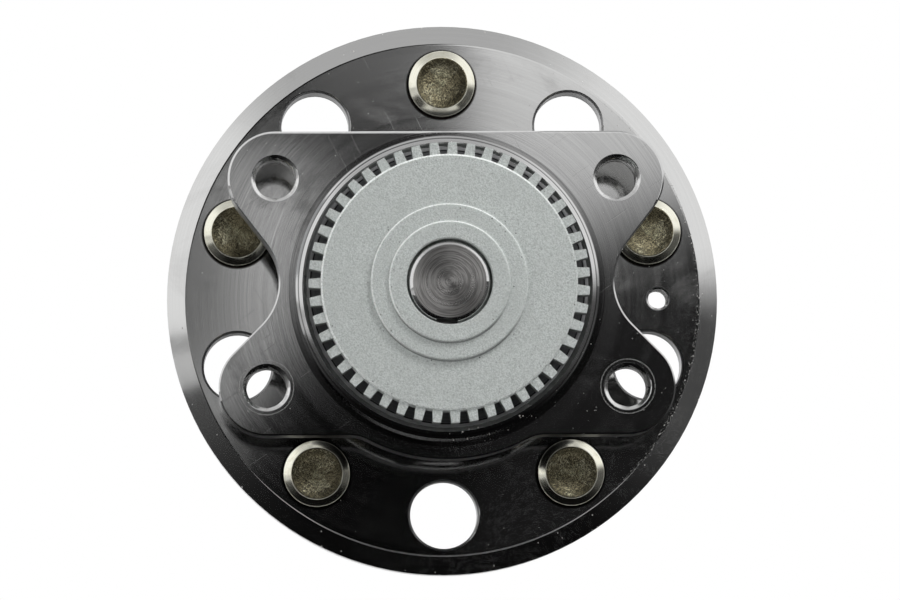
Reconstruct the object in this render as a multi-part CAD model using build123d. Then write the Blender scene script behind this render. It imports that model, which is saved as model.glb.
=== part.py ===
from build123d import *
import math
import os

# Hub unit for the non-driven wheel of a passenger car: a double-row angular-contact ball
# bearing whose inner half is the wheel hub itself and whose outer half bolts to the knuckle.
#
# Every piece is drawn on the bench with the hub axis along Z: Z = 0 is the face the wheel is
# clamped to, and Z grows towards the knuckle. Seen from the knuckle, X is right and Y is up.
# The pieces are then laid over together, so that in the part's own frame the hub axis runs
# along Y, the wheel is on the +Y side, +Z is up and the origin is the centre of the wheel face.

# --- wheel flange of the hub ---
rim_beyond_studs = 15.85        # rim of the flange outside the stud circle
flange_thickness = 10.0
rim_cone_width = 4.8            # cone turned on the knuckle side of the rim
rim_cone_drop = 2.0
rim_chamfer = 1.0
stud_circle_radius = 57.15      # 5 x 114.3 mm wheel bolt circle
stud_count = 5
first_stud_angle = 90.0
access_hole_radius = 8.95       # socket access to the knuckle bolts, between the studs
access_hole_chamfer = 0.6
rotor_screw_radius = 3.0        # M6 hole for the screw that holds the brake rotor on
rotor_screw_chamfer = 0.2
rotor_screw_angle = 0.0
wheel_seat_inside_studs = 10.15 # flat seat of the wheel and rotor inside the stud circle
wheel_relief_depth = 0.6

# --- pilots and cup on the wheel side ---
rotor_pilot_radius = 34.0
rotor_pilot_length = 5.5
wheel_pilot_radius = 33.5
wheel_pilot_length = 7.0
pilot_lead_in = 1.5
cup_radius = 27.0
cup_floor = 1.0                 # how far the cup goes in past the wheel face
centre_hole_radius = 4.0

# --- wheel studs, M12 x 1.5, pressed in from the knuckle side ---
stud_thread_radius = 6.0
stud_knurl_radius = 6.5
stud_head_radius = 8.75
stud_head_height = 4.6
stud_head_bevel = 1.9
stud_head_bevel_height = 1.5
stud_reach = 34.0               # stud tip past the wheel face
stud_tip_radius = 4.9
stud_tip_length = 2.0
stud_knurl_lead = 0.5           # cone from the knurl to the thread, ending at the wheel face

# --- ball rows ---
pitch_radius = 30.0
ball_radius = 5.556             # 7/16 inch balls
ball_count = 14
groove_clearance = 0.144
row_spacing = 13.5
outer_land_height = 3.5         # middle land of the outer ring, above its groove bottoms
outer_open_step = 0.3           # low step on the open side of each outer raceway
inner_shoulder_height = 3.1     # high shoulder of each inner raceway, above its groove bottom
inner_land_height = 0.6         # low shoulder towards the middle of the bearing

# --- ball cages ---
cage_thickness = 4.9
cage_offset = 0.75              # middle of the cage outside the pitch circle
cage_rim = 1.3                  # ring behind the pockets
cage_claw = 1.8                 # claws, inwards past the ball centres
pocket_clearance = 0.144

# --- spindle ---
seal_land_step = 1.1            # seal land above the high shoulder
seal_land_cone = 0.4
flange_root_radius = 4.5
spindle_radius = 15.0
spindle_shoulder_length = 1.0   # cone between the bearing seat and the thread
spindle_shoulder_inset = 0.5    # shoulder inside the inner ring, so that the nut clamps the ring
inner_ring_stand_out = 0.5      # inner ring past the end of the outer ring
inner_ring_corner = 0.6
spindle_end_recess = 0.6        # spindle end below the top of the tone ring's boss
spindle_tip_step = 0.65         # plain tip of the spindle below the outside of the thread
spindle_tip_overlap = 1.0       # tip starts inside the tone ring's web
spindle_end_chamfer = 1.1
thread_radius = 11.0            # M22 x 1.5
slot_width = 5.5                # key slot for the tab washer
slot_depth = 1.5
slot_angle = 266.0

# --- outer ring ---
barrel_wall = 4.3               # outside the groove bottoms
flange_gap = 3.5                # wheel flange to the outer ring
spigot_height = 6.5
mounting_flange_thickness = 12.0
flange_root_cove = 4.0
edge_chamfer = 0.4
barrel_chamfer = 0.8
spigot_wall = 2.9
spigot_chamfer = 0.8
seal_bore_step = 1.0            # seal bores outside the open side of the raceways
seal_bore_chamfer = 0.8
seat_relief_width = 1.4         # shallow groove round the foot of the spigot
seat_relief_depth = 0.4

# --- mounting flange outline, seen from the knuckle ---
top_bolt_outset = 5.1           # bolt holes outside the spigot, along X
bottom_bolt_outset = 7.5
top_land = 1.8                  # straight top edge above the spigot
bottom_tuck = 1.4               # straight bottom edges inside the spigot's circle
top_lobe_radius = 12.3
bottom_lobe_radius = 12.4
waist_radius = 16.0
waist_land = 4.2                # flat left beside the spigot at the waists
waist_y = 2.0
belly_land = 4.9                # the flange bellies out round the spigot between the lower lobes
belly_blend_radius = 10.0
bolt_hole_radius = 6.0          # M12 x 1.5, threads at their outside radius
bolt_hole_chamfer = 0.2

# --- tone ring of the wheel speed sensor ---
tooth_count = 47
tooth_angle = 4.09              # first tooth, counter-clockwise from +X
tone_disc_radius = 32.9
tooth_height = 3.1
tooth_root_share = 0.615        # tooth width as a share of the pitch
tooth_tip_share = 0.44
tooth_drop = 0.4                # tooth tops lie a little below the disc face
tone_stand_off = 14.3           # tone ring's face above the end of the spigot
tone_rim_height = 8.0
tone_rim_wall = 4.9
tone_web = 3.8
tone_step_width = 4.55
tone_step_height = 1.5
tone_boss_wall = 4.5
tone_boss_height = 1.2
tone_bore_chamfer = 0.3
tone_step_round = 0.5
tooth_bury = 0.6                # tooth roots inside the disc

# --- lock nut and tab washer ---
washer_margin = 3.5             # washer beyond the flats of the nut
washer_thickness = 1.6
washer_tab_clearance = 0.15
washer_lug_width = 7.0
washer_lug_rise = 4.0
nut_wall = 5.0                  # thread to flats
nut_face_chamfer = 1.2

# --- seals ---
outboard_seal_room = 5.0        # end of the outer ring to the cage
inboard_seal_room = 4.5
seal_sheet = 0.8                # sheet steel of the seal cases and the slinger
seal_wall_gap = 0.4             # from the cages, and from the ends of the outer ring
slinger_gap = 0.4               # slinger flange to the wall of the outer seal case
outboard_case_eye = 3.0         # case flange clear of the hub's seal land
inboard_case_eye = 3.6          # case flange clear of the inner ring's shoulder
lip_gap = 0.2
lip_droop = 0.1                 # radial lips set past the face of the rubber
axial_lip_root = 3.7            # axial lips start this far inside the case wall
axial_lip_foot = 1.12
outboard_rubber = 1.2
outboard_lip = 0.7
outboard_lip_reach = 1.9        # radial lip, from its root to its tip
outboard_axial_lip_inset = 0.5
inboard_rubber = 0.9
inboard_lip = 0.42
inboard_lip_reach = 2.2
inboard_axial_lip_inset = 2.0

cutter_margin = 1.0             # cutters reach this far past the surfaces that they open

# --- sizes that follow from the ones above ---
flange_radius = stud_circle_radius + rim_beyond_studs
wheel_relief_radius = stud_circle_radius - wheel_seat_inside_studs
pilot_end = -(rotor_pilot_length + wheel_pilot_length)
groove_radius = ball_radius + groove_clearance
outer_land_radius = pitch_radius + groove_radius - outer_land_height
outer_open_radius = pitch_radius + groove_radius - outer_open_step
inner_shoulder_radius = pitch_radius - groove_radius + inner_shoulder_height
inner_land_radius = pitch_radius - groove_radius + inner_land_height
cage_back = ball_radius + pocket_clearance + cage_rim
outer_ring_start = flange_thickness + flange_gap
outboard_row = outer_ring_start + outboard_seal_room + cage_back
inboard_row = outboard_row + row_spacing
outer_ring_end = inboard_row + cage_back + inboard_seal_room
mounting_face = outer_ring_end - spigot_height
seal_land_radius = inner_shoulder_radius + seal_land_step
seal_bore_radius = outer_open_radius + seal_bore_step
barrel_radius = pitch_radius + groove_radius + barrel_wall
spigot_radius = seal_bore_radius + spigot_wall
flange_back = mounting_face - mounting_flange_thickness
inner_ring_end = outer_ring_end + inner_ring_stand_out
inner_ring_joint = (outboard_row + inboard_row) / 2
slot_floor_radius = thread_radius - slot_depth
nut_across_flats = 2 * (thread_radius + nut_wall)
top_bolt_x = spigot_radius + top_bolt_outset
top_bolt_y = spigot_radius + top_land - top_lobe_radius
bottom_bolt_x = spigot_radius + bottom_bolt_outset
bottom_bolt_y = bottom_lobe_radius + bottom_tuck - spigot_radius
tone_face = outer_ring_end + tone_stand_off
tone_web_back = tone_face - tone_web
tone_boss_radius = thread_radius + tone_boss_wall
tone_step_radius = tone_boss_radius + tone_step_width
tooth_tip_radius = tone_disc_radius + tooth_height
spindle_end = tone_face + tone_step_height + tone_boss_height - spindle_end_recess
washer_radius = nut_across_flats / 2 + washer_margin

row_frame = Plane(origin=(0, 0, 0), x_dir=(1, 0, 0), z_dir=(0, -1, 0))


def polar(radius, angle, height=0.0):
    """Point at a radius and an angle in degrees, seen from the knuckle."""
    turn = math.radians(angle)
    return (radius * math.cos(turn), radius * math.sin(turn), height)


def circle_meets(radius, row):
    """Half length of the raceway groove where it meets a cylinder of the given radius."""
    return math.sqrt(groove_radius**2 - (radius - pitch_radius) ** 2)


def turned(*edges):
    """Solid of revolution of a closed half section given as edges in (radius, height)."""
    section = Plane.XZ * make_face(Curve() + list(edges))
    return revolve(section, Axis.Z)


def turned_section(*points):
    """Solid of revolution of a half section with straight sides."""
    return turned(*Polyline(*points, close=True).edges())


def drilled(radius, chamfer, low, high):
    """Cutter for a through hole with both mouths chamfered."""
    mouth = radius + chamfer + cutter_margin
    return turned_section(
        (0, low - cutter_margin),
        (mouth, low - cutter_margin),
        (radius, low + chamfer),
        (radius, high - chamfer),
        (mouth, high + cutter_margin),
        (0, high + cutter_margin),
    )


def stud_angles():
    return [first_stud_angle + 360.0 / stud_count * i for i in range(stud_count)]


def wheel_hub():
    """Forged hub: wheel flange, pilots, outboard inner raceway and threaded spindle."""
    shoulder_start = outboard_row - circle_meets(inner_shoulder_radius, outboard_row)
    land_start = outboard_row + circle_meets(inner_land_radius, outboard_row)
    seal_land_end = outboard_row - cage_back - seal_wall_gap
    root_centre = (seal_land_radius + flange_root_radius, flange_thickness + flange_root_radius)
    shoulder = inner_ring_end - spindle_shoulder_inset
    tip_radius = thread_radius - spindle_tip_step
    tip_start = tone_face - spindle_tip_overlap
    lower = Polyline(
        (0, cup_floor),
        (cup_radius, cup_floor),
        (cup_radius, pilot_end),
        (wheel_pilot_radius - pilot_lead_in, pilot_end),
        (wheel_pilot_radius, pilot_end + pilot_lead_in),
        (wheel_pilot_radius, -rotor_pilot_length),
        (rotor_pilot_radius, -rotor_pilot_length + (rotor_pilot_radius - wheel_pilot_radius)),
        (rotor_pilot_radius, wheel_relief_depth),
        (wheel_relief_radius - wheel_relief_depth, wheel_relief_depth),
        (wheel_relief_radius, 0),
        (flange_radius - rim_chamfer, 0),
        (flange_radius, rim_chamfer),
        (flange_radius, flange_thickness - rim_cone_drop),
        (flange_radius - rim_cone_width, flange_thickness),
        (root_centre[0], flange_thickness),
    )
    root = ThreePointArc(
        (root_centre[0], flange_thickness),
        (
            root_centre[0] - flange_root_radius * math.sqrt(0.5),
            root_centre[1] - flange_root_radius * math.sqrt(0.5),
        ),
        (seal_land_radius, root_centre[1]),
    )
    neck = Polyline(
        (seal_land_radius, root_centre[1]),
        (seal_land_radius, seal_land_end),
        (inner_shoulder_radius, seal_land_end + seal_land_cone),
        (inner_shoulder_radius, shoulder_start),
    )
    raceway = ThreePointArc(
        (inner_shoulder_radius, shoulder_start),
        (pitch_radius - groove_radius, outboard_row),
        (inner_land_radius, land_start),
    )
    spindle = Polyline(
        (inner_land_radius, land_start),
        (inner_land_radius, inner_ring_joint),
        (spindle_radius, inner_ring_joint),
        (spindle_radius, shoulder - spindle_shoulder_length),
        (thread_radius, shoulder),
        (thread_radius, tip_start),
        (tip_radius, tip_start + spindle_tip_step),
        (tip_radius, spindle_end - spindle_end_chamfer),
        (tip_radius - spindle_end_chamfer, spindle_end),
        (0, spindle_end),
        (0, cup_floor),
    )
    hub = turned(*lower.edges(), root, *neck.edges(), raceway, *spindle.edges())

    centre_hole = turned_section(
        (0, cup_floor - cutter_margin),
        (centre_hole_radius + cutter_margin / math.sqrt(3), cup_floor - cutter_margin),
        (0, cup_floor + centre_hole_radius * math.sqrt(3)),
    )
    hub -= centre_hole
    for angle in stud_angles():
        seat = Pos(*polar(stud_circle_radius, angle))
        hub -= seat * Cylinder(stud_knurl_radius, 3 * flange_thickness)
        access = Pos(*polar(stud_circle_radius, angle + 180.0 / stud_count))
        hub -= access * drilled(access_hole_radius, access_hole_chamfer, 0, flange_thickness)
    screw = Pos(*polar(stud_circle_radius, rotor_screw_angle))
    hub -= screw * drilled(rotor_screw_radius, rotor_screw_chamfer, 0, flange_thickness)

    slot_length = spindle_end - inner_ring_end
    slot = Pos(slot_floor_radius + thread_radius, 0, inner_ring_end + slot_length) * Box(
        2 * thread_radius, slot_width, 2 * slot_length
    )
    return hub - Rot(0, 0, slot_angle) * slot


def inner_ring():
    """Inboard inner ring, pressed on the spindle and clamped by the nut."""
    groove_low = inboard_row - circle_meets(inner_land_radius, inboard_row)
    groove_high = inboard_row + circle_meets(inner_shoulder_radius, inboard_row)
    raceway = ThreePointArc(
        (inner_land_radius, groove_low),
        (pitch_radius - groove_radius, inboard_row),
        (inner_shoulder_radius, groove_high),
    )
    body = Polyline(
        (inner_shoulder_radius, groove_high),
        (inner_shoulder_radius, inner_ring_end - inner_ring_corner),
        (inner_shoulder_radius - inner_ring_corner, inner_ring_end),
        (spindle_radius + inner_ring_corner, inner_ring_end),
        (spindle_radius, inner_ring_end - inner_ring_corner),
        (spindle_radius, inner_ring_joint),
        (inner_land_radius, inner_ring_joint),
        (inner_land_radius, groove_low),
    )
    return turned(raceway, *body.edges())


def outer_tangent_point(centre, radius, other, other_radius, side):
    """Where a line that crosses between two circles touches the first one."""
    dx = other[0] - centre[0]
    dy = other[1] - centre[1]
    lean = math.acos((radius + other_radius) / math.hypot(dx, dy))
    angle = math.atan2(dy, dx) + side * lean
    return (centre[0] + radius * math.cos(angle), centre[1] + radius * math.sin(angle))


def arc_round(centre, radius, start, end):
    """Shorter arc round a centre between two points on its circle."""
    mid_x = (start[0] + end[0]) / 2 - centre[0]
    mid_y = (start[1] + end[1]) / 2 - centre[1]
    scale = radius / math.hypot(mid_x, mid_y)
    middle = (centre[0] + mid_x * scale, centre[1] + mid_y * scale)
    return ThreePointArc(start, middle, end)


def flange_outline():
    """Four bolt lobes joined by a straight top, two waists and a bellied bottom."""
    top = (top_bolt_x, top_bolt_y)
    bottom = (bottom_bolt_x, bottom_bolt_y)
    waist = (spigot_radius + waist_land + waist_radius, waist_y)
    belly_radius = spigot_radius + belly_land
    top_edge = top_bolt_y + top_lobe_radius
    bottom_edge = bottom_bolt_y - bottom_lobe_radius
    leave_top = outer_tangent_point(top, top_lobe_radius, waist, waist_radius, 1)
    join_waist = outer_tangent_point(waist, waist_radius, top, top_lobe_radius, 1)
    leave_waist = outer_tangent_point(waist, waist_radius, bottom, bottom_lobe_radius, -1)
    join_bottom = outer_tangent_point(bottom, bottom_lobe_radius, waist, waist_radius, -1)

    blend_y = bottom_edge - belly_blend_radius
    blend_x = math.sqrt((belly_radius + belly_blend_radius) ** 2 - blend_y**2)
    blend = (blend_x, blend_y)
    share = belly_radius / (belly_radius + belly_blend_radius)
    belly_start = (blend_x * share, blend_y * share)
    edges = [
        Line((0, top_edge), (top_bolt_x, top_edge)),
        arc_round(top, top_lobe_radius, (top_bolt_x, top_edge), leave_top),
        Line(leave_top, join_waist),
        arc_round(waist, waist_radius, join_waist, leave_waist),
        Line(leave_waist, join_bottom),
        arc_round(bottom, bottom_lobe_radius, join_bottom, (bottom_bolt_x, bottom_edge)),
        Line((bottom_bolt_x, bottom_edge), (blend_x, bottom_edge)),
        arc_round(blend, belly_blend_radius, (blend_x, bottom_edge), belly_start),
        arc_round((0, 0), belly_radius, belly_start, (0, -belly_radius)),
    ]
    half = Curve() + edges
    return make_face(half + mirror(half, Plane.YZ))


def bolt_places():
    return [
        (side * x, y)
        for x, y in ((top_bolt_x, top_bolt_y), (bottom_bolt_x, bottom_bolt_y))
        for side in (-1, 1)
    ]


def outer_ring():
    """Stationary ring: both outer raceways, knuckle flange with four tapped lobes, spigot."""
    reach_open = circle_meets(outer_open_radius, outboard_row)
    reach_land = circle_meets(outer_land_radius, outboard_row)
    seat_start = outboard_row - cage_back - seal_wall_gap
    seat_end = inboard_row + cage_back + seal_wall_gap
    outside = Polyline(
        (seal_bore_radius, seat_start),
        (seal_bore_radius, outer_ring_start + seal_bore_chamfer),
        (seal_bore_radius + seal_bore_chamfer, outer_ring_start),
        (barrel_radius - barrel_chamfer, outer_ring_start),
        (barrel_radius, outer_ring_start + barrel_chamfer),
        (barrel_radius, mounting_face - seat_relief_depth),
        (spigot_radius, mounting_face - seat_relief_depth),
        (spigot_radius, outer_ring_end - spigot_chamfer),
        (spigot_radius - spigot_chamfer, outer_ring_end),
        (seal_bore_radius + seal_bore_chamfer, outer_ring_end),
        (seal_bore_radius, outer_ring_end - seal_bore_chamfer),
        (seal_bore_radius, seat_end),
        (outer_open_radius, seat_end),
        (outer_open_radius, inboard_row + reach_open),
    )
    inboard_race = ThreePointArc(
        (outer_open_radius, inboard_row + reach_open),
        (pitch_radius + groove_radius, inboard_row),
        (outer_land_radius, inboard_row - reach_land),
    )
    land = Line(
        (outer_land_radius, inboard_row - reach_land),
        (outer_land_radius, outboard_row + reach_land),
    )
    outboard_race = ThreePointArc(
        (outer_land_radius, outboard_row + reach_land),
        (pitch_radius + groove_radius, outboard_row),
        (outer_open_radius, outboard_row - reach_open),
    )
    close = Polyline(
        (outer_open_radius, outboard_row - reach_open),
        (outer_open_radius, seat_start),
        (seal_bore_radius, seat_start),
    )
    ring = turned(*outside.edges(), inboard_race, land, outboard_race, *close.edges())

    outline = flange_outline()
    plate = Pos(0, 0, flange_back) * extrude(outline, mounting_flange_thickness)
    rims = plate.edges().filter_by(Plane.XY)
    plate = chamfer(rims, edge_chamfer)
    cove_wall = flange_root_cove * (1 - math.sqrt(0.5))
    cove = turned(
        *Polyline(
            (barrel_radius, flange_back - flange_root_cove),
            (outer_open_radius, flange_back - flange_root_cove),
            (outer_open_radius, flange_back),
            (barrel_radius + flange_root_cove, flange_back),
        ).edges(),
        ThreePointArc(
            (barrel_radius + flange_root_cove, flange_back),
            (barrel_radius + cove_wall, flange_back - cove_wall),
            (barrel_radius, flange_back - flange_root_cove),
        ),
    )
    under = Pos(0, 0, flange_back - flange_root_cove) * extrude(outline, flange_root_cove)
    bore = Cylinder(outer_open_radius + outer_land_height / 2, 4 * outer_ring_end)
    relief = Pos(0, 0, mounting_face) * (
        Cylinder(spigot_radius + seat_relief_width, 2 * seat_relief_depth)
        - Cylinder(spigot_radius, 2 * seat_relief_depth)
    )
    ring += (plate + (cove & under)) - bore
    ring -= relief
    for x, y in bolt_places():
        hole = drilled(bolt_hole_radius, bolt_hole_chamfer, flange_back, mounting_face)
        ring -= Pos(x, y, 0) * hole
    return ring


def ball_places(row):
    """Places of the balls of one row, each with its X axis along the row's circle."""
    step = 360.0 / ball_count
    across = Pos(pitch_radius, 0, row) * Rot(0, 0, 90)
    return [Rot(0, 0, step * i) * across for i in range(ball_count)]


def ball_row(row):
    """Loose balls of one row, as separate solids."""
    return Compound(children=[place * Sphere(ball_radius) for place in ball_places(row)])


def cage(row, outward):
    """Moulded snap cage: a ring with a round pocket for each ball, open on one side."""
    inner = pitch_radius + cage_offset - cage_thickness / 2
    outer = inner + cage_thickness
    back = row + outward * cage_back
    claws = row - outward * cage_claw
    ring = turned_section((inner, back), (outer, back), (outer, claws), (inner, claws))
    pocket = Rot(90, 0, 0) * Cylinder(ball_radius + pocket_clearance, 3 * cage_thickness)
    for place in ball_places(row):
        ring -= place * pocket
    return ring


def outboard_seal_case():
    """Pressed sheet ring in the wheel-side mouth of the outer ring."""
    back = outboard_row - cage_back - seal_wall_gap
    mouth = outer_ring_start + seal_wall_gap
    wall = seal_bore_radius - seal_sheet
    eye = seal_land_radius + outboard_case_eye
    return turned_section(
        (seal_bore_radius, mouth),
        (seal_bore_radius, back),
        (eye, back),
        (eye, back - seal_sheet),
        (wall, back - seal_sheet),
        (wall, mouth),
    )


def outboard_seal_lips():
    """Rubber bonded to the case: one lip on the hub's land, one on the flange face."""
    back = outboard_row - cage_back - seal_wall_gap - seal_sheet
    face = back - outboard_rubber
    wall = seal_bore_radius - seal_sheet
    tip = seal_land_radius + lip_gap
    reach = flange_thickness + lip_gap
    flare = wall - outboard_axial_lip_inset
    return turned_section(
        (wall, back),
        (tip + outboard_lip_reach, back),
        (tip, face - lip_droop),
        (tip, face - lip_droop - outboard_lip),
        (tip + outboard_lip_reach, face),
        (wall - axial_lip_root, face),
        (flare - outboard_lip, reach),
        (flare, reach),
        (wall - axial_lip_root + axial_lip_foot, face),
        (wall, face),
    )


def inboard_seal_case():
    """Pressed sheet ring in the knuckle-side mouth of the outer ring."""
    back = inboard_row + cage_back + seal_wall_gap
    mouth = outer_ring_end - seal_bore_chamfer
    wall = seal_bore_radius - seal_sheet
    eye = inner_shoulder_radius + inboard_case_eye
    return turned_section(
        (seal_bore_radius, mouth),
        (seal_bore_radius, back),
        (eye, back),
        (eye, back + seal_sheet),
        (wall, back + seal_sheet),
        (wall, mouth),
    )


def inboard_slinger():
    """Sheet steel slinger pressed on the inner ring; its flange closes the seal."""
    back = inboard_row + cage_back + seal_wall_gap
    face = outer_ring_end - seal_wall_gap
    sleeve = inner_shoulder_radius + seal_sheet
    rim = seal_bore_radius - seal_sheet - slinger_gap
    return turned_section(
        (inner_shoulder_radius, back),
        (sleeve, back),
        (sleeve, face - seal_sheet),
        (rim, face - seal_sheet),
        (rim, face),
        (inner_shoulder_radius, face),
    )


def inboard_seal_lips():
    """Rubber bonded to the case: one lip on the slinger's sleeve, one on its flange."""
    back = inboard_row + cage_back + seal_wall_gap + seal_sheet
    face = back + inboard_rubber
    wall = seal_bore_radius - seal_sheet
    tip = inner_shoulder_radius + seal_sheet + lip_gap
    reach = outer_ring_end - seal_wall_gap - seal_sheet - lip_gap
    flare = wall - inboard_axial_lip_inset
    return turned_section(
        (wall, back),
        (tip + inboard_lip_reach, back),
        (tip, face + lip_droop),
        (tip, face + lip_droop + inboard_lip),
        (tip + inboard_lip_reach, face),
        (wall - axial_lip_root, face),
        (flare, reach),
        (flare + outboard_lip, reach),
        (wall - axial_lip_root + axial_lip_foot, face),
        (wall, face),
    )


def tab_washer():
    """Keyed washer: its inner tab sits in the spindle slot, its lug is bent up the nut."""
    low = inner_ring_end
    disc = Cylinder(washer_radius, washer_thickness) - Cylinder(thread_radius, washer_thickness)
    tab_floor = slot_floor_radius + washer_tab_clearance
    tab_length = (thread_radius + washer_radius) / 2 - tab_floor
    tab_width = slot_width - 2 * washer_tab_clearance
    tab = Pos(tab_floor + tab_length / 2, 0, 0) * Box(tab_length, tab_width, washer_thickness)
    washer = Pos(0, 0, low + washer_thickness / 2) * Rot(0, 0, slot_angle) * (disc + tab)
    lug_height = washer_thickness + washer_lug_rise
    lug = Pos(nut_across_flats / 2 + washer_thickness / 2, 0, low + lug_height / 2) * Box(
        washer_thickness, washer_lug_width, lug_height
    )
    return washer + Rot(0, 0, slot_angle) * lug


def lock_nut():
    """Hexagon nut that clamps the inner ring and sets the preload."""
    low = inner_ring_end + washer_thickness
    height = tone_web_back - low
    corner = nut_across_flats / math.sqrt(3)
    prism = Rot(0, 0, slot_angle) * extrude(RegularPolygon(corner, 6, rotation=30), height)
    crown = turned_section(
        (0, 0),
        (corner, 0),
        (corner, height - nut_face_chamfer),
        (corner - 2 * nut_face_chamfer, height),
        (0, height),
    )
    bore = Cylinder(thread_radius, 4 * height)
    return Pos(0, 0, low) * ((prism & crown) - bore)


def tone_tooth():
    """Outline of one sensor tooth, narrowing to its tip."""
    pitch = 2 * math.pi / tooth_count
    root_half = tooth_root_share * pitch * tone_disc_radius / 2
    tip_half = tooth_tip_share * pitch * tooth_tip_radius / 2
    foot = tone_disc_radius - tooth_bury
    return make_face(
        Polyline(
            (foot, -root_half),
            (tone_disc_radius, -root_half),
            (tooth_tip_radius, -tip_half),
            (tooth_tip_radius, tip_half),
            (tone_disc_radius, root_half),
            (foot, root_half),
            close=True,
        )
    )


def tone_ring():
    """Sintered cup pressed on the spindle end, with a tooth for every pulse of the sensor."""
    rim_low = tone_face - tone_rim_height
    step_top = tone_face + tone_step_height
    boss_top = step_top + tone_boss_height
    cup_wall = tone_disc_radius - tone_rim_wall
    step_middle = (tone_boss_radius + tone_step_radius) / 2
    body = turned_section(
        (thread_radius, tone_web_back),
        (cup_wall, tone_web_back),
        (cup_wall, rim_low),
        (tone_disc_radius, rim_low),
        (tone_disc_radius, tone_face),
        (tone_step_radius, tone_face),
        (tone_step_radius, step_top),
        (tone_boss_radius, step_top),
        (tone_boss_radius, boss_top),
        (thread_radius + tone_bore_chamfer, boss_top),
        (thread_radius, boss_top - tone_bore_chamfer),
    )
    steps = [
        edge
        for edge in body.edges().filter_by(GeomType.CIRCLE)
        if edge.center().Z > tone_web_back and abs(edge.radius - step_middle) < tone_step_width
    ]
    body = fillet(steps, tone_step_round)
    teeth = Sketch() + [
        Rot(0, 0, tooth_angle + 360.0 / tooth_count * i) * tone_tooth()
        for i in range(tooth_count)
    ]
    height = tone_rim_height - tooth_drop
    return body + Pos(0, 0, rim_low) * extrude(teeth, height)


def wheel_stud(angle):
    """M12 wheel stud with a round bevelled head and a knurled neck pressed in the flange."""
    head_top = flange_thickness + stud_head_height
    stud = turned_section(
        (0, -stud_reach),
        (stud_tip_radius, -stud_reach),
        (stud_thread_radius, -stud_reach + stud_tip_length),
        (stud_thread_radius, 0),
        (stud_knurl_radius, stud_knurl_lead),
        (stud_knurl_radius, flange_thickness),
        (stud_head_radius, flange_thickness),
        (stud_head_radius, head_top - stud_head_bevel_height),
        (stud_head_radius - stud_head_bevel, head_top),
        (0, head_top),
    )
    return Pos(*polar(stud_circle_radius, angle)) * stud


def pieces():
    """Every piece of the hub unit by its node name."""
    made = {
        "wheel_hub": wheel_hub(),
        "inner_ring": inner_ring(),
        "tab_washer": tab_washer(),
        "lock_nut": lock_nut(),
        "tone_ring": tone_ring(),
        "inboard_slinger": inboard_slinger(),
        "outer_ring": outer_ring(),
        "outboard_seal_case": outboard_seal_case(),
        "outboard_seal_lips": outboard_seal_lips(),
        "inboard_seal_case": inboard_seal_case(),
        "inboard_seal_lips": inboard_seal_lips(),
        "outboard_balls": ball_row(outboard_row),
        "outboard_cage": cage(outboard_row, -1),
        "inboard_balls": ball_row(inboard_row),
        "inboard_cage": cage(inboard_row, 1),
    }
    for number, angle in enumerate(stud_angles(), start=1):
        made[f"wheel_stud_{number}"] = wheel_stud(angle)
    return made


os.makedirs("parts", exist_ok=True)
for name, shape in pieces().items():
    export_step(row_frame.location * shape, f"parts/{name}.step")
    print(name, round(shape.volume, 1))
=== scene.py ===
import math

import bmesh
import bpy
from mathutils import Euler, Matrix, Vector


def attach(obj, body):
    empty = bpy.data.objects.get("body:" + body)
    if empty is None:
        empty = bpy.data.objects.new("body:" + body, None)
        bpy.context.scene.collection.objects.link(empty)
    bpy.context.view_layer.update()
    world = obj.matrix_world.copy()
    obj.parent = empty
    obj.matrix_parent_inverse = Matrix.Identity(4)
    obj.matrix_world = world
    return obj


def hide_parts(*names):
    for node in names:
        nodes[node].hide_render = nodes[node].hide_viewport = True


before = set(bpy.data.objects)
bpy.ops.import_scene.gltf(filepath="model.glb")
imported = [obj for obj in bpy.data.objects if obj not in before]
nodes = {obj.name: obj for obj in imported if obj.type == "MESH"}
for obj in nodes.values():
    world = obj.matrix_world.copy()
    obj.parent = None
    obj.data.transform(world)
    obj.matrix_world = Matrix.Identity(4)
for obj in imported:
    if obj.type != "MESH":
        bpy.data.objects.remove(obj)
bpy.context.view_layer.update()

# ---------------------------------------------------------------------------------------------
# Wheel hub: one steel forging with the wheel flange, the spindle and the pilots of wheel and
# brake disc. Its flange and races are turned and ground bright on the lathe, the cup on the
# wheel side keeps its dark forging skin, and the spindle end shows coarse facing rings.
MM = 0.001


def place(tree, kind, feeds=None, **settings):
    """Adds a shader node; feeds names its sockets with a value or with what wires into them."""
    made = tree.nodes.new("ShaderNode" + kind)
    for name, value in settings.items():
        setattr(made, name, value)
    for socket, value in (feeds or {}).items():
        if isinstance(value, bpy.types.NodeSocket):
            tree.links.new(value, made.inputs[socket])
        else:
            made.inputs[socket].default_value = value
    return made


def reckon(tree, operation, *values, clamp=False):
    """One sum on sockets or numbers."""
    feeds = dict(enumerate(values))
    return place(tree, "Math", feeds, operation=operation, use_clamp=clamp).outputs[0]


def both(tree, mask, *others):
    """Mask of where all of some masks hold; a number among them weakens it."""
    for other in others:
        mask = reckon(tree, "MULTIPLY", mask, other)
    return mask


def either(tree, mask, *others):
    """Mask of where any of some masks holds."""
    for other in others:
        mask = reckon(tree, "MAXIMUM", mask, other)
    return mask


def plus(tree, value, *shares):
    """Value from 0 to 1 with masks added to it, each times its own amount."""
    for mask, amount in shares:
        value = reckon(tree, "MULTIPLY_ADD", mask, amount, value, clamp=True)
    return value


def ramp(tree, value, low, high, to_low=0.0, to_high=1.0):
    """Smooth step of a value between two limits."""
    feeds = dict(enumerate((value, low, high, to_low, to_high)))
    return place(tree, "MapRange", feeds, interpolation_type="SMOOTHSTEP").outputs[0]


def fall(tree, value, low, high):
    """Smooth step down from one to nothing."""
    return ramp(tree, value, low, high, 1.0, 0.0)


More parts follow.
